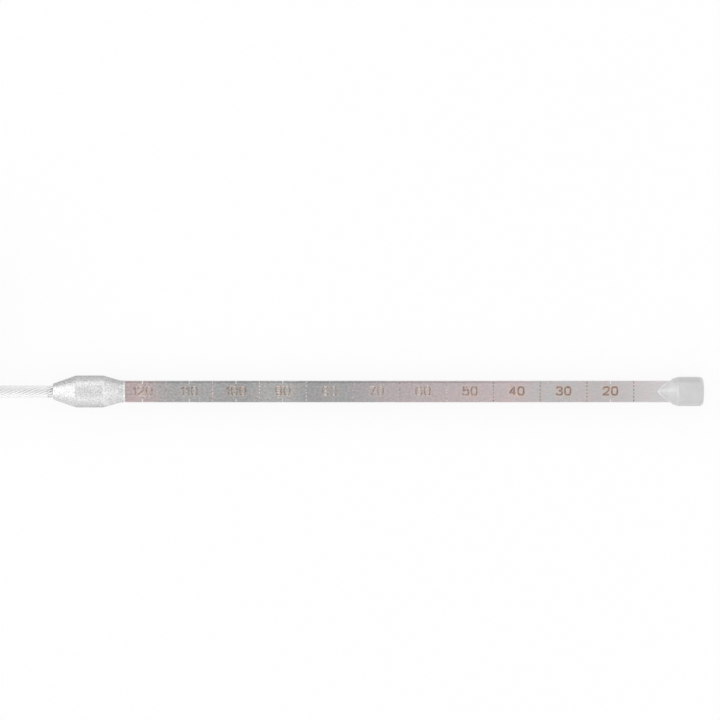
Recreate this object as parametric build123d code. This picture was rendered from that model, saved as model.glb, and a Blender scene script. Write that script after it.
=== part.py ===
from build123d import *
import math
import os

# Engine oil dipstick: a steel blade with a millimetre scale, a moulded tip, a cast ferrule, a steel cable
# and a pull ring. All sizes are in millimetres.
# The origin is the middle of the tip's end face, which is the zero of the scale. +X points out of the tip,
# so a mark at 50 mm lies at x = -50, and the scale faces +Z. The dipstick lies on its ferrule.

# Gauge blade
blade_width = 4.6
blade_thickness = 0.8
blade_edge_radius = 0.12
gauge_length = 123.6
tang_length = 7.5
lock_hole_size = 1.6
lock_hole_edge = 1.0

# Scale marks, cut into the upper face
mark_pitch = 5.0
marks_per_number = 2
mark_width = 0.22
mark_depth = 0.06
mark_margin = 1.0
tick_length = 0.7
dash_count = 6
dash_length = 0.45

# Moulded tip
cap_wall = 0.8
cap_barrel_length = 5.5
cap_shoulder_length = 1.23
cap_shoulder_drop = 0.415
cap_cone_length = 2.73
cap_end_wall = 1.7
cap_flat_radius = 1.2
cap_dome_height = 0.2
cap_corner_radius = 0.9
cap_lip_reach = 0.42
cap_lip_height = 0.08

# Cast ferrule, from the blade to the cable
ferrule_radius = 3.42
ferrule_neck_wall = 0.05
ferrule_neck_length = 1.2
ferrule_front_cone_length = 3.58
ferrule_barrel_length = 5.8
ferrule_back_cone_length = 4.9
ferrule_back_wall = 0.4
ferrule_socket_depth = 5.5

# Cable and its put-away coil
cable_radius = 1.3
coil_inner_turn_radius = 11.7
coil_turn_pitch = 2.7
coil_turns_per_layer = 2.34
coil_layers = 4
coil_clearance = 0.15
coil_distance = 39.0
coil_stub_length = 12.0
coil_exit_angle = -110.0
tie_thickness = 0.4
tie_width = 5.0

# Pull ring
handle_distance = 60.0
handle_thickness = 6.0
handle_hole_radius = 12.5
handle_ring_width = 5.5
handle_neck_length = 14.0
handle_neck_root = 11.0
handle_neck_width = 6.4
handle_edge_chamfer = 1.2
handle_blend_radius = 4.0
handle_mouth_chamfer = 1.5
handle_socket_depth = 6.0

# Sizes that follow from those above
half_thickness = blade_thickness / 2
blade_half_diagonal = math.hypot(blade_width / 2, half_thickness)
edge_round = min(blade_edge_radius, 0.45 * blade_thickness)
cap_radius = blade_half_diagonal + cap_wall
cap_length = cap_barrel_length + cap_shoulder_length + cap_cone_length + cap_lip_reach
neck_radius = blade_half_diagonal + ferrule_neck_wall
back_radius = cable_radius + ferrule_back_wall
floor_height = -max(ferrule_radius, cap_radius)

# Places along the axis, from the tip to the cable
blade_front = -cap_end_wall
ferrule_front = -gauge_length
blade_back = ferrule_front - tang_length
neck_back = ferrule_front - ferrule_neck_length
barrel_front = neck_back - ferrule_front_cone_length
barrel_back = barrel_front - ferrule_barrel_length
ferrule_back = barrel_back - ferrule_back_cone_length

# The coil: layers of turns, entered along y = 0 and left from the top layer
coil_outer_turn_radius = coil_inner_turn_radius + coil_turns_per_layer * coil_turn_pitch
coil_center = Vector(ferrule_back - coil_distance, coil_outer_turn_radius, 0)
coil_bottom = floor_height + tie_thickness
first_layer = coil_bottom + coil_clearance + cable_radius
last_layer = first_layer + (coil_layers - 1) * coil_turn_pitch
coil_inner_radius = coil_inner_turn_radius - cable_radius - coil_clearance
coil_outer_radius = coil_outer_turn_radius + cable_radius + coil_clearance
coil_width = coil_outer_radius - coil_inner_radius
coil_height = last_layer - first_layer + 2 * (cable_radius + coil_clearance)
coil_middle_radius = (coil_inner_radius + coil_outer_radius) / 2
coil_middle_height = coil_bottom + coil_height / 2

# Where the cable enters and leaves the coil, and the ends of the coil's own short straight ends
entry_point = Vector(coil_center.X, 0, first_layer)
lead_end = entry_point + Vector(coil_stub_length, 0, 0)
exit_turn = math.radians(coil_exit_angle)
exit_offset = Vector(math.cos(exit_turn), math.sin(exit_turn), 0) * coil_outer_turn_radius
exit_direction = Vector(math.sin(exit_turn), -math.cos(exit_turn), 0)
exit_point = coil_center + exit_offset + Vector(0, 0, last_layer)
tail_start = exit_point + exit_direction * coil_stub_length

# The pull ring's place: the cable goes into its mouth along -X
handle_axis = floor_height + handle_thickness / 2
handle_ring_radius = handle_hole_radius + handle_ring_width
handle_mouth = coil_center + Vector(-handle_distance, 0, handle_axis)
handle_center = handle_mouth - Vector(handle_ring_radius + handle_neck_length, 0, 0)

# Points of the cable's two free stretches
lead_route = [
    Vector(ferrule_back + ferrule_socket_depth, 0, 0),
    Vector(ferrule_back - 8.0, 0, 0),
    lead_end + Vector(5.0, 0, 0),
    lead_end,
]
tail_route = [
    tail_start,
    tail_start + exit_direction * 12.0,
    handle_mouth + Vector(8.0, 0, 0),
    handle_mouth - Vector(handle_socket_depth, 0, 0),
]


def turned(*lines):
    """Solid of revolution about X, under lines that run from the axis out and back to the axis."""
    closing = Line(lines[-1] @ 1, lines[0] @ 0)
    edges = [edge for line in (*lines, closing) for edge in line.edges()]
    return revolve(make_face(edges), Axis.X)


def rod(start, end, radius):
    """Straight round rod between two points."""
    run = end - start
    return Part() + Solid.make_cylinder(radius, run.length, Plane(start, z_dir=run))


def blade_blank():
    """Steel strip with rounded long edges and a square locking hole at each end."""
    length = blade_front - blade_back
    middle = (blade_front + blade_back) / 2
    strip = Pos(middle, 0, 0) * Box(length, blade_width, blade_thickness)
    strip = fillet(strip.edges().filter_by(Axis.X), edge_round)
    hole = Box(lock_hole_size, lock_hole_size, 2 * blade_thickness)
    inset = lock_hole_edge + lock_hole_size / 2
    for hole_place in (blade_front - inset, blade_back + inset):
        strip -= Pos(hole_place, 0, 0) * hole
    return strip


def scale_marks():
    """Cutters of the scale: edge ticks at the numbers and a broken line halfway between them."""
    first = math.ceil((cap_length + mark_margin) / mark_pitch)
    last = math.floor((gauge_length - mark_margin) / mark_pitch)
    dash_pitch = blade_width / dash_count
    tick = Box(mark_width, 2 * tick_length, 2 * mark_depth)
    dash = Box(mark_width, dash_length, 2 * mark_depth)
    cutters = []
    for mark in range(first, last + 1):
        place = -mark * mark_pitch
        if mark % marks_per_number == 0:
            for edge in (-blade_width / 2, blade_width / 2):
                cutters.append(Pos(place, edge, half_thickness) * tick)
        else:
            for row in range(dash_count):
                across = (row + 0.5) * dash_pitch - blade_width / 2
                cutters.append(Pos(place, across, half_thickness) * dash)
    return cutters


def cap_cone_profile(shift):
    """Outline from the cap's barrel down its two cones to just inside the blade, moved by shift along -X."""
    ring = cap_barrel_length + cap_shoulder_length
    ring_radius = cap_radius - cap_shoulder_drop
    inside = half_thickness / 2
    slope = (ring_radius - half_thickness) / cap_cone_length
    point = ring + (ring_radius - inside) / slope
    corners = [(cap_barrel_length, cap_radius), (ring, ring_radius), (point, inside), (point, 0)]
    return [(-along - shift, out) for along, out in corners]


def tip_cap(strip):
    """Moulded tip: domed end, barrel and cones, with a thin lip where it closes on the blade's faces."""
    cone = cap_cone_profile(0)
    end_face = Line((0, 0), (0, cap_flat_radius))
    rim = (-cap_dome_height, cap_radius)
    barrel = FilletPolyline(end_face @ 1, rim, cone[0], radius=cap_corner_radius)
    body = turned(end_face, barrel, Polyline(cone))
    lip_cone = cap_cone_profile(cap_lip_reach)
    lip_start = (lip_cone[0][0], 0)
    lip = turned(Polyline(lip_start, *lip_cone))
    lip_width = blade_width - 2 * edge_round
    lip_slab = Box(4 * cap_length, lip_width, blade_thickness + 2 * cap_lip_height)
    return body + (lip & lip_slab) - strip


def cable_ferrule(strip):
    """Cast joint: two cones and a barrel, cast round the blade's tang and the cable's end."""
    outline = Polyline(
        (ferrule_front, 0),
        (ferrule_front, neck_radius),
        (neck_back, neck_radius),
        (barrel_front, ferrule_radius),
        (barrel_back, ferrule_radius),
        (ferrule_back, back_radius),
        (ferrule_back, 0),
    )
    socket = rod(Vector(ferrule_back, 0, 0), lead_route[0], cable_radius)
    return turned(outline) - strip - socket


def coil_section(margin):
    """Upright section through the coil, larger by margin all round, with corners cut close to the turns."""
    section = Rectangle(coil_width + 2 * margin, coil_height + 2 * margin)
    corner = (2 - math.sqrt(2)) * (cable_radius + coil_clearance + margin)
    section = chamfer(section.vertices(), corner)
    return Plane.XZ * Pos(coil_middle_radius, coil_middle_height) * section


def cable_coil():
    """Outer shape of the coiled cable, with the short straight ends where the cable enters and leaves."""
    ring = Pos(coil_center) * revolve(coil_section(0), Axis.Z)
    return ring + rod(entry_point, lead_end, cable_radius) + rod(exit_point, tail_start, cable_radius)


def coil_tie():
    """Flat band round the coil's bundle, on the side away from the cable's ends."""
    arc = math.degrees(tie_width / coil_middle_radius)
    band = coil_section(tie_thickness) - coil_section(0)
    return Pos(coil_center) * Rot(0, 0, 90 - arc / 2) * revolve(band, Axis.Z, arc)


def cable_stretch(name, route):
    """Tube along straight runs joined by arcs as large as the runs allow."""
    radii = []
    for before, corner, after in zip(route, route[1:], route[2:]):
        turn = math.radians((corner - before).get_angle(after - corner))
        shorter = min((corner - before).length, (after - corner).length)
        radii.append(0.45 * shorter / math.tan(turn / 2))
    path = FilletPolyline(route, radius=radii)
    tube = sweep(Plane(path @ 0, z_dir=path % 0) * Circle(cable_radius), path=path)
    expected = math.pi * cable_radius**2 * path.length
    print(name, "radii", [round(r, 1) for r in radii], "length", round(path.length, 2))
    print(name, "volume over section times length", round(tube.volume / expected, 5))
    return tube


def pull_handle():
    """Moulded pull ring with a neck that holds the cable's end."""
    mouth = handle_ring_radius + handle_neck_length
    neck = Polygon(
        (0, -handle_neck_root / 2),
        (mouth, -handle_neck_width / 2),
        (mouth, handle_neck_width / 2),
        (0, handle_neck_root / 2),
        align=None,
    )
    outline = Circle(handle_ring_radius) + neck
    corners = outline.vertices().sort_by(Axis.X)
    outline = chamfer(corners[-2:], handle_mouth_chamfer)
    roots = outline.vertices().filter_by(lambda corner: corner.X < handle_ring_radius).sort_by(Axis.X)
    outline = fillet(roots[-2:], handle_blend_radius)
    outline -= Circle(handle_hole_radius)
    body = extrude(outline, handle_thickness / 2, both=True)
    rims = body.faces().sort_by(Axis.Z)
    body = chamfer(rims[0].edges() + rims[-1].edges(), handle_edge_chamfer)
    body = Pos(handle_center) * body
    return body - rod(handle_mouth, tail_route[-1], cable_radius)


strip = blade_blank()
pieces = {
    "gauge_blade": strip - scale_marks(),
    "tip_cap": tip_cap(strip),
    "cable_ferrule": cable_ferrule(strip),
    "cable_lead": cable_stretch("cable_lead", lead_route),
    "cable_coil": cable_coil(),
    "cable_tail": cable_stretch("cable_tail", tail_route),
    "coil_tie": coil_tie(),
    "pull_handle": pull_handle(),
}

os.makedirs("parts", exist_ok=True)
for node, piece in pieces.items():
    export_step(piece, f"parts/{node}.step")
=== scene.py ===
import math

import bmesh
import bpy
import numpy as np
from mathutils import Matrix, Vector, noise


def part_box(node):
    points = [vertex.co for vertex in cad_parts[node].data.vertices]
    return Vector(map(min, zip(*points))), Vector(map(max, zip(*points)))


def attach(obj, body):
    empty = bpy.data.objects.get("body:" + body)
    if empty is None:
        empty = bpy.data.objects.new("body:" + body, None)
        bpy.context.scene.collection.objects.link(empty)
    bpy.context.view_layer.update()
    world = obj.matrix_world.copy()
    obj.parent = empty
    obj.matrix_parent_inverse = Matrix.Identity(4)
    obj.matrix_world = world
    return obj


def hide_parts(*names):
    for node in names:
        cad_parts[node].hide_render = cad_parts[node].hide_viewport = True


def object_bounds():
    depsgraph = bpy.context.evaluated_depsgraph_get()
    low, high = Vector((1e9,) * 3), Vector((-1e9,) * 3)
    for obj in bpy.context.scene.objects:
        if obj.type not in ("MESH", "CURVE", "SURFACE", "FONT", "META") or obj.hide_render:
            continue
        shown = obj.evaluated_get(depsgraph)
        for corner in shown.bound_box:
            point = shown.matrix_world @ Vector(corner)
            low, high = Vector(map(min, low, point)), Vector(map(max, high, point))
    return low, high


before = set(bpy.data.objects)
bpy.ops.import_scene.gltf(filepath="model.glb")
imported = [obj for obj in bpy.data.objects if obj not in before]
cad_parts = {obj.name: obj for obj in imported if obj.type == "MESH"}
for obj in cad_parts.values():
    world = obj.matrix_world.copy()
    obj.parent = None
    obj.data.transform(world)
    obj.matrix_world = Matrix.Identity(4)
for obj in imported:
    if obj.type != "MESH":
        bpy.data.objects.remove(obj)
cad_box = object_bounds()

# Engine oil dipstick, dressed in the frame of its solids. All sizes are in metres.
mm = 0.001

# Cable: the route's points, and the winding of the put-away coil
cable_radius = 1.3 * mm
cable_wires = 12
cable_lay = 15.3 * mm
lead_points = [
    (-133.58 * mm, 0, 0),
    (-147.08 * mm, 0, 0),
    (-161.08 * mm, 0, -1.57 * mm),
    (-166.08 * mm, 0, -1.57 * mm),
]
tail_points = [
    (-195.52 * mm, 5.19 * mm, 6.53 * mm),
    (-206.80 * mm, 9.30 * mm, 6.53 * mm),
    (-230.08 * mm, 18.02 * mm, -0.42 * mm),
    (-244.08 * mm, 18.02 * mm, -0.42 * mm),
]
coil_center = Vector((-178.08 * mm, 18.02 * mm, 0))
coil_inner_turn_radius = 11.7 * mm
coil_turn_pitch = 2.7 * mm
coil_first_layer = -1.57 * mm
coil_layers = 4
coil_turns = 10 + 1 / 18
coil_turns_per_layer = 2.34
coil_points_per_turn = 36

# Scale on the blade, from the ferrule's rim on
ferrule_rim = -123.6 * mm
first_line = 15
first_number = 20
last_number = 120
number_step = 10
number_offset = 0.12 * mm
digit_height = 1.62 * mm
digit_width = 1.2 * mm
digit_gap = 0.6 * mm
digit_stroke = 0.37 * mm
digit_depth = 0.07 * mm
mark_pitch = 5 * mm

# Centre lines of the digits in a cell one unit wide and high, where a doubled point is a sharp corner
closed_digits = "08"
oval = [(0.5, 1), (0.88, 1), (1, 0.68), (1, 0.32), (0.88, 0), (0.5, 0)]
oval += [(0.12, 0), (0, 0.32), (0, 0.68), (0.12, 1)]
six = [(0.92, 0.86), (0.8, 1), (0.5, 1), (0, 1), (0, 0.35), (0, 0), (0.5, 0), (1, 0), (1, 0.3), (1, 0.6)]
six += [(0.5, 0.6), (0.02, 0.6), (0.02, 0.3)]
five = [(0.92, 1), (0.14, 1), (0.14, 1), (0.06, 0.52), (0.06, 0.52), (0.3, 0.64), (1, 0.68), (1, 0)]
five += [(0.45, 0), (0.04, 0), (0, 0.2)]
digit_lines = {
    "0": [oval],
    "1": [[(0, 0.74), (0.42, 1), (0.42, 1), (0.42, 0)]],
    "2": [[(0.02, 0.72), (0.04, 1), (0.5, 1), (0.98, 1), (1, 0.68), (0.8, 0.45), (0, 0), (0, 0), (1, 0)]],
    "3": [
        [(0.02, 0.8), (0.08, 1), (0.5, 1), (0.95, 1), (0.95, 0.55), (0.4, 0.54)],
        [(0.4, 0.54), (1, 0.53), (1, 0), (0.5, 0), (0.04, 0), (0, 0.22)],
    ],
    "4": [[(0.76, 0), (0.76, 1), (0.76, 1), (0, 0.28), (0, 0.28), (1, 0.28)]],
    "5": [five],
    "6": [six],
    "7": [[(0, 1), (1, 1), (1, 1), (0.35, 0)]],
    "8": [
        [(0.5, 1), (0.94, 1), (0.94, 0.53), (0.5, 0.53), (0.06, 0.53), (0.06, 1)],
        [(0.5, 0.53), (1, 0.53), (1, 0), (0.5, 0), (0, 0), (0, 0.53)],
    ],
    "9": [[(1 - x, 1 - y) for x, y in six]],
}

# Camera: straight above, at the scale of the picture
view_width = 153.85 * mm
view_center = Vector((-73.5 * mm, 6.73 * mm, 0))
view_lens = 250
view_sensor = 36


def smooth_step(x):
    """Smooth rise from 0 to 1."""
    return x * x * (3 - 2 * x)


def add_object(name, data):
    """New object in the scene."""
    piece = bpy.data.objects.new(name, data)
    bpy.context.scene.collection.objects.link(piece)
    return piece


def dress(piece, slot, *nodes):
    """The piece rides on the dipstick and stands for these solids, which it hides. The slot is not used."""
    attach(piece, "root")
    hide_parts(*nodes)
    return piece


def evaluated_mesh(piece):
    """Mesh of an object with its modifiers applied."""
    graph = bpy.context.evaluated_depsgraph_get()
    return bpy.data.meshes.new_from_object(piece.evaluated_get(graph))


def draw_line(curve, points, closed):
    """Adds a smooth line through its control points to a curve."""
    spline = curve.splines.new("NURBS")
    spline.points.add(len(points) - 1)
    for point, place in zip(spline.points, points):
        point.co = (*place, 1)
    spline.order_u = 3
    spline.use_cyclic_u = closed
    spline.use_endpoint_u = not closed


# Materials


def add_node(material, kind, **inputs):
    """New shader node with its inputs set."""
    node = material.node_tree.nodes.new("ShaderNode" + kind)
    for socket, value in inputs.items():
        node.inputs[socket.replace("_", " ")].default_value = value
    return node


def connect(material, source, target):
    material.node_tree.links.new(source, target)


def shader_of(material):
    return material.node_tree.nodes["Principled BSDF"]


def new_material(name, **settings):
    """Principled material with constant settings on the shader's own sockets."""
    material = bpy.data.materials.new(name)
    material.use_nodes = True
    for socket, value in settings.items():
        shader_of(material).inputs[socket.replace("_", " ")].default_value = value
    return material


def grain(material, size, stretch=(1, 1, 1), detail=2.0):
    """Noise in the object's own coordinates, with features of that size, longer along stretched axes."""
    place = add_node(material, "TexCoord")
    scale = add_node(material, "Mapping", Scale=[1 / (size * s) for s in stretch])
    texture = add_node(material, "TexNoise", Scale=1.0, Detail=detail)
    connect(material, place.outputs["Object"], scale.inputs["Vector"])
    connect(material, scale.outputs["Vector"], texture.inputs["Vector"])
    return texture.outputs["Fac"]


def rise(material, start, end, axis="X", kind="Object", fold=None):
    """Rises from 0 to 1 between two values of a coordinate. A fold first turns the coordinate into its
    distance from the nearest multiple of twice the fold."""
    place = add_node(material, "TexCoord")
    parts = add_node(material, "SeparateXYZ")
    connect(material, place.outputs[kind], parts.inputs["Vector"])
    value = parts.outputs[axis]
    if fold:
        distance = add_node(material, "Math")
        distance.operation = "PINGPONG"
        distance.inputs[1].default_value = fold
        connect(material, value, distance.inputs[0])
        value = distance.outputs["Value"]
    step = add_node(material, "MapRange", From_Min=start, From_Max=end)
    connect(material, value, step.inputs["Value"])
    return step.outputs["Result"]


def sideways(material):
    """Which way the surface faces, from 0 on the -Y flank through 0.5 on top to 1 on the +Y flank."""
    return rise(material, -1.0, 1.0, "Y", "Normal")


def ramp(material, factor, stops):
    """Colour ramp of (place, colour) stops."""
    node = add_node(material, "ValToRGB")
    elements = node.color_ramp.elements
    while len(elements) < len(stops):
        elements.new(0.5)
    for element, (place, color) in zip(elements, stops):
        element.position = place
        element.color = (*color, 1)
    connect(material, factor, node.inputs["Fac"])
    return node.outputs["Color"]


def blend_colors(material, mode, first, second, factor):
    """Second colour over the first one, where each can be a socket or a constant."""
    node = material.node_tree.nodes.new("ShaderNodeMix")
    node.data_type = "RGBA"
    node.blend_type = mode
    for place, value in ((0, factor), (6, first), (7, second)):
        if isinstance(value, bpy.types.NodeSocket):
            connect(material, value, node.inputs[place])
        else:
            node.inputs[place].default_value = value
    return node.outputs[2]


def multiplied(material, color, *layers):
    """Colour darkened and lightened by layers laid over it."""
    for layer in layers:
        color = blend_colors(material, "MULTIPLY", color, layer, 1.0)
    return color


def faded(material, color, factor):
    """Layer that fades to white, which changes nothing, as the factor rises."""
    return blend_colors(material, "MIX", color, (1, 1, 1, 1), factor)


def set_color(material, color):
    connect(material, color, shader_of(material).inputs["Base Color"])


def set_roughness(material, factor, low, high):
    """Roughness that varies with a factor."""
    spread = add_node(material, "MapRange", To_Min=low, To_Max=high)
    connect(material, factor, spread.inputs["Value"])
    connect(material, spread.outputs["Result"], shader_of(material).inputs["Roughness"])


def add_bump(material, height, depth, strength=1.0):
    """Surface relief, laid over any relief that is there."""
    bump = add_node(material, "Bump", Strength=strength, Distance=depth)
    normal = shader_of(material).inputs["Normal"]
    if normal.links:
        connect(material, normal.links[0].from_socket, bump.inputs["Normal"])
    connect(material, height, bump.inputs["Height"])
    connect(material, bump.outputs["Normal"], normal)


def grey(value):
    return (value, value, value)


def blade_steel():
    """Satin rolled steel with fine lines along it, a painted dark line of shade along its +Y edge, and a
    colour that changes along its length: a faint pink colouring with painted light and shade that make
    stretches lighter and darker.
    """
    material = new_material("blade_steel", Metallic=1.0, Specular_Tint=(0.3, 0.3, 0.3, 1))
    # Stops along the blade: a faint pink colouring, and painted light and shade that make stretches of the
    # steel lighter and darker.
    painted_light_and_tint_stops = [
        (0.03, (0.66, 0.545, 0.545)),
        (0.08, (0.52, 0.515, 0.515)),
        (0.15, (0.52, 0.515, 0.515)),
        (0.22, (0.47, 0.465, 0.465)),
        (0.26, (0.55, 0.545, 0.54)),
        (0.31, (0.54, 0.535, 0.53)),
        (0.34, (0.46, 0.46, 0.46)),
        (0.42, (0.5, 0.485, 0.49)),
        (0.5, (0.6, 0.535, 0.545)),
        (0.73, (0.7, 0.6, 0.61)),
        (0.77, (0.65, 0.62, 0.625)),
        (0.9, (0.66, 0.62, 0.62)),
        (1.0, (0.775, 0.74, 0.745)),
    ]
    painted_light_and_tint = ramp(material, rise(material, ferrule_rim, -9 * mm), painted_light_and_tint_stops)
    streak_grain = grain(material, 0.2 * mm, (10, 1, 1), 3.0)
    streaks = ramp(material, streak_grain, [(0.3, grey(0.93)), (0.7, grey(1.05))])
    cloud_grain = grain(material, 0.4 * mm, (1.4, 1, 1), 4.0)
    clouds = ramp(material, cloud_grain, [(0.3, grey(0.79)), (0.7, grey(1.18))])
    clouds = faded(material, clouds, rise(material, -95 * mm, 0))
    mottle_tones = [(0.35, (1.03, 0.99, 0.99)), (0.65, (0.97, 1.0, 1.0))]
    mottle = ramp(material, grain(material, 1.6 * mm), mottle_tones)
    # Painted shade: a dark line along the +Y edge of the blade, fading out towards the tip.
    edge_shade_tones = [(0.1, grey(1.0)), (0.35, grey(0.72)), (0.55, grey(0.72)), (0.8, grey(1.0))]
    painted_edge_shade = ramp(material, rise(material, 1.7 * mm, 2.3 * mm, "Y"), edge_shade_tones)
    painted_edge_shade = faded(material, painted_edge_shade, rise(material, -50 * mm, -30 * mm))
    stain = number_stain(material)
    set_color(material, multiplied(material, painted_light_and_tint, streaks, clouds, mottle, painted_edge_shade, stain))
    set_roughness(material, grain(material, 0.25 * mm, (6, 1, 1)), 0.3, 0.42)
    add_bump(material, grain(material, 0.06 * mm, (60, 1, 1), 3.0), 0.004 * mm)
    return material


def number_stain(material):
    """Blotchy stain round each number, warm near the tip and pale towards the ferrule."""
    along = rise(material, 2.4 * mm, 1.4 * mm, fold=mark_pitch)
    across = rise(material, 1.6 * mm, 0.9 * mm, "Y", fold=mark_pitch)
    before_tip = rise(material, -14 * mm, -16 * mm)
    blotches = ramp(material, grain(material, 0.4 * mm), [(0.4, grey(0.0)), (0.6, grey(1.0))])
    spots = multiplied(material, along, across, before_tip, blotches)
    tones = [(0.0, (1.19, 1.13, 1.05)), (1.0, (1.12, 1.0, 0.86))]
    tone = ramp(material, rise(material, -75 * mm, -30 * mm), tones)
    return blend_colors(material, "MIX", (1, 1, 1, 1), tone, spots)


def scale_color(name, tones, contrast):
    """Worn filling of the cut scale, in tones that change along the blade."""
    material = new_material(name)
    tone = ramp(material, rise(material, -last_number * mm, -first_line * mm), tones)
    speck_tones = [(0.36, grey(1 - contrast)), (0.64, grey(1 + contrast))]
    specks = ramp(material, grain(material, 0.28 * mm), speck_tones)
    set_color(material, multiplied(material, tone, specks))
    set_roughness(material, grain(material, 0.05 * mm), 0.45, 0.65)
    return material


def number_fill():
    """Brown of the numbers. Away from the tip, the groove walls of strokes that run along the blade get a
    painted highlight in a pale metal tone.
    """
    tones = [
        (0.0, (0.36, 0.29, 0.27)),
        (0.1, (0.26, 0.24, 0.23)),
        (0.24, (0.33, 0.24, 0.195)),
        (0.38, (0.345, 0.31, 0.29)),
        (0.57, (0.33, 0.265, 0.24)),
        (0.76, (0.285, 0.205, 0.18)),
        (0.95, (0.27, 0.19, 0.158)),
    ]
    material = scale_color("number_fill", tones, 0.4)
    brown = shader_of(material).inputs["Base Color"].links[0].from_socket
    # Painted highlight: groove walls that face ±Y, in strokes that run along the blade, take a pale metal
    # tone away from the tip.
    walls_along = rise(material, 0, 0.1, "Y", "Normal", fold=1.0)
    walls_across = rise(material, 0, 0.1, "X", "Normal", fold=1.0)
    along = blend_colors(material, "SUBTRACT", walls_along, walls_across, 1.0)
    painted_wall_glint = multiplied(material, along, rise(material, -44 * mm, -58 * mm))
    wall_glint_tone = (0.82, 0.74, 0.7, 1)
    set_color(material, blend_colors(material, "MIX", brown, wall_glint_tone, painted_wall_glint))
    return material


def line_fill():
    """Broken lines: brown near the tip, paler with wear towards the ferrule."""
    tones = [
        (0.05, (0.55, 0.49, 0.45)),
        (0.15, (0.72, 0.59, 0.51)),
        (0.35, (0.69, 0.64, 0.6)),
        (0.52, (0.44, 0.39, 0.38)),
        (0.62, (0.63, 0.57, 0.52)),
        (0.72, (0.4, 0.31, 0.26)),
        (1.0, (0.41, 0.27, 0.13)),
    ]
    return scale_color("line_fill", tones, 0.5)


def tick_cut():
    """Edge ticks: bare bright metal, dull along the middle of the blade."""
    tones = [
        (0.0, grey(0.85)),
        (0.1, grey(0.74)),
        (0.3, grey(0.72)),
        (0.37, grey(0.46)),
        (0.85, grey(0.55)),
        (0.97, grey(0.85)),
    ]
    return scale_color("tick_cut", tones, 0.08)


def cast_metal():
    """Rough cast light metal: grainy skin with small pits, painted shade on its sides, painted shade and
    highlight bands on its cones, and a painted highlight on the rim at the blade with a painted dark line
    behind it.
    """
    material = new_material("cast_metal", Metallic=0.85, Specular_Tint=(0.3, 0.3, 0.3, 1))
    skin = ramp(material, grain(material, 0.3 * mm, detail=4.0), [(0.34, grey(0.6)), (0.62, grey(0.9))])
    pits = ramp(material, grain(material, 0.16 * mm), [(0.28, grey(0.65)), (0.36, grey(1.0))])
    # Painted shade on both sides, darker on the +Y side.
    flank_shade_tones = [(0.06, grey(0.92)), (0.14, grey(1.0)), (0.82, grey(1.0)), (0.865, grey(0.81))]
    painted_flank_shade = ramp(material, sideways(material), flank_shade_tones)
    # Painted shade and highlight bands on the back and front cones.
    back_cone = cone_flank(material, 0.8, -134.6 * mm, -133.9 * mm)
    front_cone = cone_flank(material, 0.87, -127.9 * mm, -128.6 * mm)
    # Painted highlight and shade towards the rim: light just past the front cone, a dark line, then a light
    # rim.
    rim_light_and_shade_tones = [
        (0.0, grey(1.0)),
        (0.03, grey(1.1)),
        (0.3, grey(1.02)),
        (0.82, grey(0.97)),
        (0.88, grey(0.89)),
        (0.93, grey(1.12)),
    ]
    front = ramp(material, rise(material, -128.4 * mm, ferrule_rim), rim_light_and_shade_tones)
    set_color(material, multiplied(material, skin, pits, painted_flank_shade, back_cone, front_cone, front))
    set_roughness(material, grain(material, 0.3 * mm), 0.38, 0.58)
    add_bump(material, grain(material, 0.2 * mm, detail=3.0), 0.04 * mm)
    return material


def cone_flank(material, tone, start, end):
    """Painted shade band on the +Y flank of a cone of the ferrule and a painted highlight edge on the -Y
    flank, which fade out from start to end along the axis."""
    middle = grey((1 + tone) / 2)
    painted_band_tones = [
        (0.06, grey(1.17)),
        (0.16, grey(1.0)),
        (0.69, grey(1.0)),
        (0.76, middle),
        (0.83, grey(tone)),
        (0.88, middle),
        (0.95, grey(1.0)),
    ]
    band = ramp(material, sideways(material), painted_band_tones)
    return faded(material, band, rise(material, start, end))


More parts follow.
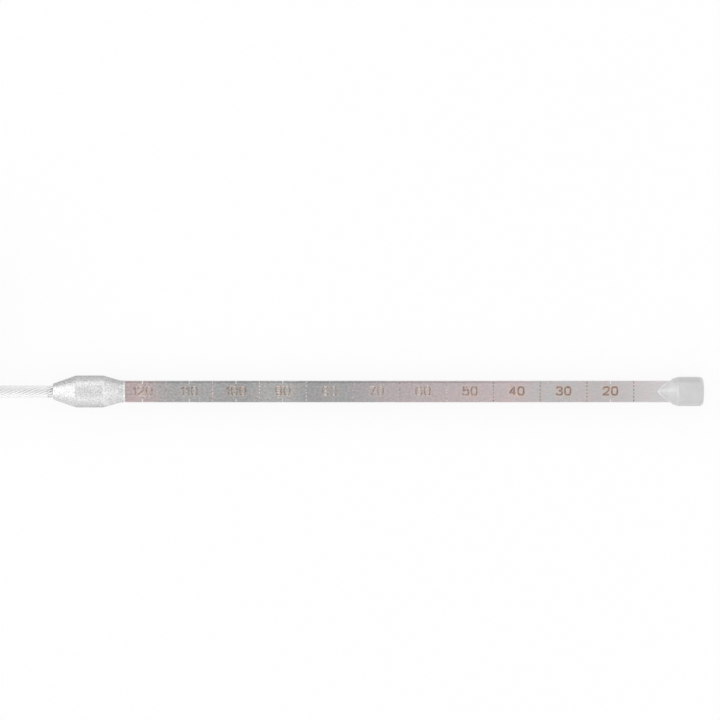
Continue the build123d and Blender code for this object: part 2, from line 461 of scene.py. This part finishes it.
def white_plastic():
    """Moulded white plastic, slightly translucent, with painted highlights on the shoulder ring, the end,
    the upper half of the cone and the edge of the lip, and painted shade on the +Y flank and in the crease
    behind the lip.
    """
    material = new_material(
        "white_plastic",
        Subsurface_Weight=0.2,
        Subsurface_Radius=(1, 1, 1),
        Subsurface_Scale=0.3 * mm,
    )
    cloud = ramp(material, grain(material, 1.2 * mm), [(0.3, grey(0.575)), (0.7, grey(0.615))])
    # Painted shade on the +Y flank of the barrel.
    flank = ramp(material, sideways(material), [(0.805, grey(1.0)), (0.835, grey(0.9))])
    flank_ends = [(0.08, grey(1.0)), (0.17, grey(0.0)), (0.83, grey(0.0)), (0.93, grey(1.0))]
    flank = faded(material, flank, ramp(material, rise(material, -8 * mm, 0), flank_ends))
    # Painted highlight: a light ring at the shoulder between cone and barrel, on the faces that look up.
    ring_highlight_tones = [(0.0, grey(1.02)), (0.25, grey(1.15)), (0.5, grey(1.15)), (0.95, grey(1.0))]
    painted_ring_highlight = ramp(material, rise(material, -6 * mm, -5.3 * mm), ring_highlight_tones)
    ring_highlight_sides = [(0.3, grey(0.7)), (0.42, grey(0.0)), (0.66, grey(0.0)), (0.74, grey(0.8))]
    painted_ring_highlight = faded(material, painted_ring_highlight, ramp(material, sideways(material), ring_highlight_sides))
    # Painted highlight on the end of the tip.
    end = ramp(material, rise(material, -0.84 * mm, 0), [(0.0, grey(1.0)), (1.0, grey(1.15))])
    # Painted highlight on the edge of the lip and painted shade in the crease behind it.
    lip_light_and_shade_tones = [(0.2, grey(1.19)), (0.26, grey(0.86)), (0.4, grey(0.9)), (0.7, grey(1.0))]
    lip = ramp(material, rise(material, 0.4 * mm, 0.8 * mm, "Z", fold=5 * mm), lip_light_and_shade_tones)
    # Painted highlight along the upper half of the cone.
    cone_highlight_tones = [(0.2, grey(1.0)), (0.49, grey(1.03)), (0.51, grey(1.16)), (0.75, grey(1.02))]
    cone = ramp(material, sideways(material), cone_highlight_tones)
    cone = faded(material, multiplied(material, cone, lip), rise(material, -6.4 * mm, -5.7 * mm))
    set_color(material, multiplied(material, cloud, flank, painted_ring_highlight, end, cone))
    set_roughness(material, grain(material, 0.2 * mm), 0.32, 0.4)
    add_bump(material, grain(material, 0.12 * mm), 0.004 * mm)
    return material


def cable_steel():
    """Bright drawn wire, with dark specks of the casting where it leaves the ferrule."""
    material = new_material("cable_steel", Metallic=0.75)
    drawn = ramp(material, grain(material, 0.15 * mm, (5, 1, 1)), [(0.3, grey(0.8)), (0.7, grey(0.94))])
    specks = ramp(material, grain(material, 0.32 * mm), [(0.38, grey(0.5)), (0.5, grey(1.0))])
    specks = faded(material, specks, rise(material, -140.1 * mm, -140.4 * mm))
    set_color(material, multiplied(material, drawn, specks))
    set_roughness(material, grain(material, 0.2 * mm), 0.34, 0.5)
    return material


def black_plastic(name, texture_size, texture_depth):
    """Moulded black plastic with a fine texture."""
    material = new_material(name)
    tone = ramp(material, grain(material, 2.0 * mm), [(0.3, grey(0.022)), (0.7, grey(0.034))])
    set_color(material, tone)
    set_roughness(material, grain(material, 0.6 * mm), 0.42, 0.58)
    add_bump(material, grain(material, texture_size, detail=3.0), texture_depth)
    return material


# Cable


def coil_points():
    """Points of the turns, clockwise from -Y: each layer winds in or out, then climbs to the next one."""
    climb_turns = (coil_turns - coil_layers * coil_turns_per_layer) / (coil_layers - 1)
    layer_span = coil_turns_per_layer + climb_turns
    bulge = 1 / math.cos(math.pi / coil_points_per_turn)
    points = []
    for step in range(round(coil_turns * coil_points_per_turn) + 1):
        turn = step / coil_points_per_turn
        layer = min(int(turn / layer_span), coil_layers - 1)
        wound = min(turn - layer * layer_span, coil_turns_per_layer)
        climbed = (turn - layer * layer_span - wound) / climb_turns
        turns_out = wound if layer % 2 else coil_turns_per_layer - wound
        radius = (coil_inner_turn_radius + turns_out * coil_turn_pitch) * bulge
        angle = -math.pi / 2 - 2 * math.pi * turn
        height = coil_first_layer + (layer + smooth_step(climbed)) * coil_turn_pitch
        points.append(coil_center + Vector((radius * math.cos(angle), radius * math.sin(angle), height)))
    return points


def cable_line():
    """Points along the cable's smooth line, close together at the end that shows most."""
    controls = [Vector(p) for p in lead_points] + coil_points() + [Vector(p) for p in tail_points]
    curve = bpy.data.curves.new("cable_line", "CURVE")
    curve.dimensions = "3D"
    curve.resolution_u = 24
    draw_line(curve, controls, False)
    line = bpy.data.objects.new("cable_line", curve)
    drawn = np.array([v.co for v in bpy.data.meshes.new_from_object(line).vertices])
    bpy.data.objects.remove(line)
    run = np.concatenate([[0], np.cumsum(np.linalg.norm(np.diff(drawn, axis=0), axis=1))])
    fine_end = 20 * mm
    fine_step = 0.45 * mm
    coarse_count = 1180
    fine_places = np.arange(0, fine_end, fine_step)
    coarse_places = np.linspace(fine_end, run[-1], coarse_count)
    places = np.concatenate([fine_places, coarse_places])
    return places, np.column_stack([np.interp(places, run, drawn[:, axis]) for axis in range(3)])


def strand_section():
    """Outline of the strand: outer wires side by side in a ring, each an arc between its neighbours."""
    points_per_wire = 5
    half_step = math.pi / cable_wires
    ring_radius = cable_radius / (1 + math.sin(half_step))
    wire_radius = cable_radius - ring_radius
    reach = math.pi / 2 + half_step
    arc = np.exp(1j * np.linspace(-reach, reach, points_per_wire, endpoint=False))
    wires = np.exp(2j * half_step * np.arange(cable_wires))
    return ((ring_radius + wire_radius * arc)[None, :] * wires[:, None]).ravel()


def steel_cable():
    """The whole cable as one left-hand strand along its line."""
    places, line = cable_line()
    section = strand_section()
    tangents = np.gradient(line, axis=0)
    tangents /= np.linalg.norm(tangents, axis=1)[:, None]
    side = np.array([0.0, 1.0, 0.0])
    rings = []
    for place, point, tangent in zip(places, line, tangents):
        side = side - tangent * (side @ tangent)
        side /= np.linalg.norm(side)
        twisted = section * np.exp(-2j * math.pi * place / cable_lay)
        rings.append(point + np.outer(twisted.real, side) + np.outer(twisted.imag, np.cross(tangent, side)))
    count = len(section)
    faces = [tuple(range(count))[::-1]]
    for ring in range(len(rings) - 1):
        start = ring * count
        for k in range(count):
            after = (k + 1) % count
            faces.append((start + k, start + after, start + count + after, start + count + k))
    faces.append(tuple(range((len(rings) - 1) * count, len(rings) * count)))
    mesh = bpy.data.meshes.new("steel_cable")
    mesh.from_pydata(np.concatenate(rings).tolist(), [], faces)
    mesh.shade_smooth()
    mesh.set_sharp_from_angle(angle=math.radians(60))
    mesh.materials.append(cable_steel())
    return add_object("steel_cable", mesh), line


cable, cable_path = steel_cable()
dress(cable, "cable_steel", "cable_lead", "cable_coil", "cable_tail")

# Blade


def welded_copy(node):
    """Mesh of a solid with its faces joined along their edges."""
    shape = bmesh.new()
    shape.from_mesh(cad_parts[node].data)
    bmesh.ops.remove_doubles(shape, verts=shape.verts, dist=0.0005 * mm)
    return shape


def draw_number(curve, number):
    """Adds the strokes of a number, centred on its own mark, to a curve."""
    digits = str(number)
    widths = [max(x for line in digit_lines[d] for x, y in line) * digit_width for d in digits]
    left = -number * mm - (sum(widths) + digit_gap * (len(digits) - 1)) / 2
    bottom = number_offset - digit_height / 2
    for digit, width in zip(digits, widths):
        for line in digit_lines[digit]:
            points = [(left + x * digit_width, bottom + y * digit_height, 0) for x, y in line]
            draw_line(curve, points, digit in closed_digits)
        left += width + digit_gap


def number_cutter(top):
    """Shallow round-bottomed strokes of all the numbers, as a cutter at the height of the blade's face."""
    strokes = bpy.data.curves.new("numbers", "CURVE")
    strokes.dimensions = "3D"
    strokes.resolution_u = 5
    strokes.bevel_depth = digit_stroke / 2
    strokes.bevel_resolution = 1
    strokes.use_fill_caps = True
    for number in range(first_number, last_number + 1, number_step):
        draw_number(strokes, number)
    holder = bpy.data.objects.new("numbers", strokes)
    mesh = bpy.data.meshes.new_from_object(holder)
    bpy.data.objects.remove(holder)
    shape = bmesh.new()
    shape.from_mesh(mesh)
    bmesh.ops.remove_doubles(shape, verts=shape.verts, dist=0.001 * mm)
    bmesh.ops.recalc_face_normals(shape, faces=shape.faces)
    for vertex in shape.verts:
        vertex.co.z = top + vertex.co.z * digit_depth / (digit_stroke / 2)
    shape.to_mesh(mesh)
    return mesh


def marked_blade():
    """Blade with its numbers engraved, and the cuts of the scale in their own colours."""
    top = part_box("gauge_blade")[1].z
    cutter = add_object("numbers", number_cutter(top))
    cutter.data.materials.append(number_fill())
    blank = bpy.data.meshes.new("marked_blade")
    welded_copy("gauge_blade").to_mesh(blank)
    blank.materials.append(blade_steel())
    blade = add_object("marked_blade", blank)
    engrave = blade.modifiers.new("engrave", "BOOLEAN")
    engrave.operation = "DIFFERENCE"
    engrave.solver = "EXACT"
    engrave.material_mode = "TRANSFER"
    engrave.use_self = True
    engrave.object = cutter
    blade.data = evaluated_mesh(blade)
    blade.modifiers.clear()
    bpy.data.objects.remove(cutter)
    blade.data.materials.append(line_fill())
    blade.data.materials.append(tick_cut())
    color_marks(blade.data, top)
    return blade


def color_marks(mesh, top):
    """Gives the lines of the scale their colours, and keeps the flat faces flat."""
    steel, number, line, tick = range(4)
    shape = bmesh.new()
    shape.from_mesh(mesh)
    for face in shape.faces:
        face.smooth = True
        place = face.calc_center_median()
        in_cut = 0.01 * mm < top - place.z < 0.2 * mm
        if face.material_index == steel and in_cut and face.normal.z > 0.9:
            is_tick = round(-place.x / mark_pitch) % 2 == 0
            face.material_index = tick if is_tick else line
    for edge in shape.edges:
        flat = [abs(f.normal.z) > 0.999 for f in edge.link_faces]
        edge.smooth = all(flat) or (not any(flat) and edge.calc_face_angle(0) < math.radians(40))
    shape.to_mesh(mesh)


blade = dress(marked_blade(), "blade_steel", "gauge_blade")

# Ferrule, pull ring and tie, softened from their solids


def softened(name, node, cell, rounds):
    """Copy of a solid in small even faces with its sharp edges rounded."""
    shape = welded_copy(node)
    bmesh.ops.scale(shape, vec=Vector((1, 1, 1)) / mm, verts=shape.verts)
    mesh = bpy.data.meshes.new(name)
    shape.to_mesh(mesh)
    piece = add_object(name, mesh)
    remesh = piece.modifiers.new("remesh", "REMESH")
    remesh.mode = "VOXEL"
    remesh.voxel_size = cell / mm
    smooth = piece.modifiers.new("smooth", "SMOOTH")
    smooth.iterations = rounds
    mesh = evaluated_mesh(piece)
    piece.modifiers.clear()
    piece.data = mesh
    for vertex in mesh.vertices:
        vertex.co *= mm
    mesh.materials.clear()
    mesh.shade_smooth()
    return piece


def roughen(mesh, size, depth):
    """Pushes the surface in by an uneven, grainy depth."""
    moves = [v.normal * (noise.fractal(v.co / size, 1.0, 2.0, 3) - 0.6) * depth for v in mesh.vertices]
    for vertex, move in zip(mesh.vertices, moves):
        vertex.co += move


ferrule = softened("cast_ferrule", "cable_ferrule", cell=0.1 * mm, rounds=1)
roughen(ferrule.data, size=0.35 * mm, depth=0.03 * mm)
ferrule.data.materials.append(cast_metal())
dress(ferrule, "cast_metal", "cable_ferrule")

handle = softened("moulded_ring", "pull_handle", cell=0.3 * mm, rounds=6)
handle.data.materials.append(black_plastic("black_plastic", 0.25 * mm, 0.012 * mm))
dress(handle, "black_plastic", "pull_handle")

tie = softened("coil_band", "coil_tie", cell=0.12 * mm, rounds=2)
tie.data.materials.append(black_plastic("tie_plastic", 0.35 * mm, 0.03 * mm))
dress(tie, "tie_plastic", "coil_tie")

# Tip, dressed as it is

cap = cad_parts["tip_cap"]
cap.data.materials.clear()
cap.data.materials.append(white_plastic())

# Floor, light and camera


def white_floor():
    """White floor that shows the object's shadow faintly."""
    material = bpy.data.materials.new("floor")
    material.use_nodes = True
    nodes = material.node_tree.nodes
    nodes.clear()
    output = add_node(material, "OutputMaterial")
    paper = add_node(material, "BsdfDiffuse", Color=(0.95, 0.95, 0.95, 1))
    glow = add_node(material, "Emission", Color=(1, 1, 1, 1), Strength=0.99)
    mix = add_node(material, "MixShader")
    share = add_node(material, "MapRange", To_Max=0.86)
    connect(material, background_rays(material), share.inputs["Value"])
    connect(material, share.outputs["Result"], mix.inputs["Fac"])
    connect(material, paper.outputs["BSDF"], mix.inputs[1])
    connect(material, glow.outputs["Emission"], mix.inputs[2])
    connect(material, mix.outputs["Shader"], output.inputs["Surface"])
    return material


def background_rays(material):
    """1 for rays that show the background, from the camera or by reflection, and 0 for those that light."""
    rays = add_node(material, "LightPath")
    total = rays.outputs["Is Camera Ray"]
    for kind in ("Is Glossy Ray", "Is Transmission Ray"):
        either = add_node(material, "Math")
        either.operation = "MAXIMUM"
        connect(material, total, either.inputs[0])
        connect(material, rays.outputs[kind], either.inputs[1])
        total = either.outputs["Value"]
    return total


def softbox(name, place, width, height, radiance):
    """Soft rectangular lamp aimed at the middle of the view."""
    lamp = bpy.data.lights.new(name, "AREA")
    lamp.shape = "RECTANGLE"
    lamp.size = width
    lamp.size_y = height
    lamp.energy = radiance * math.pi * width * height
    box = add_object(name, lamp)
    box.location = Vector(place)
    aim = Vector((view_center.x, 0, 0)) - box.location
    box.rotation_euler = aim.to_track_quat("-Z", "Y").to_euler()


floor_size = 6.0
floor_mesh = bpy.data.meshes.new("floor")
half = floor_size / 2
floor_mesh.from_pydata(
    [(x, y, cad_box[0].z) for x, y in ((-half, -half), (half, -half), (half, half), (-half, half))],
    [],
    [(0, 1, 2, 3)],
)
floor_mesh.materials.append(white_floor())
floor = add_object("floor", floor_mesh)

world = bpy.data.worlds.new("studio")
world.use_nodes = True
bpy.context.scene.world = world
sky = world.node_tree.nodes["Background"]
sky_place = add_node(world, "TexCoord")
sky_parts = add_node(world, "SeparateXYZ")
sky_at_horizon = 0.42
sky_overhead = 0.74
sky_rise = add_node(world, "MapRange", To_Min=sky_at_horizon, To_Max=sky_overhead)
connect(world, sky_place.outputs["Generated"], sky_parts.inputs["Vector"])
connect(world, sky_parts.outputs["Z"], sky_rise.inputs["Value"])
connect(world, sky_rise.outputs["Result"], sky.inputs["Strength"])
sky.inputs["Color"].default_value = (1, 1, 1, 1)

softbox("left_softbox", (-0.75, 0.05, 0.4), width=1.5, height=0.5, radiance=1.5)
softbox("back_softbox", (-0.05, 0.65, 0.38), width=0.7, height=0.25, radiance=1.5)
softbox("front_softbox", (-0.05, -0.65, 0.36), width=0.9, height=0.35, radiance=1.0)
softbox("right_softbox", (0.45, -0.05, 0.42), width=0.6, height=0.6, radiance=0.95)

camera_data = bpy.data.cameras.new("camera")
camera_data.lens = view_lens
camera_data.sensor_width = view_sensor
camera = add_object("camera", camera_data)
blade_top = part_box("gauge_blade")[1].z
camera.location = view_center + Vector((0, 0, blade_top + view_width * view_lens / view_sensor))
camera_data.clip_start = 0.01
bpy.context.scene.camera = camera
bpy.context.scene.view_settings.view_transform = "Standard"
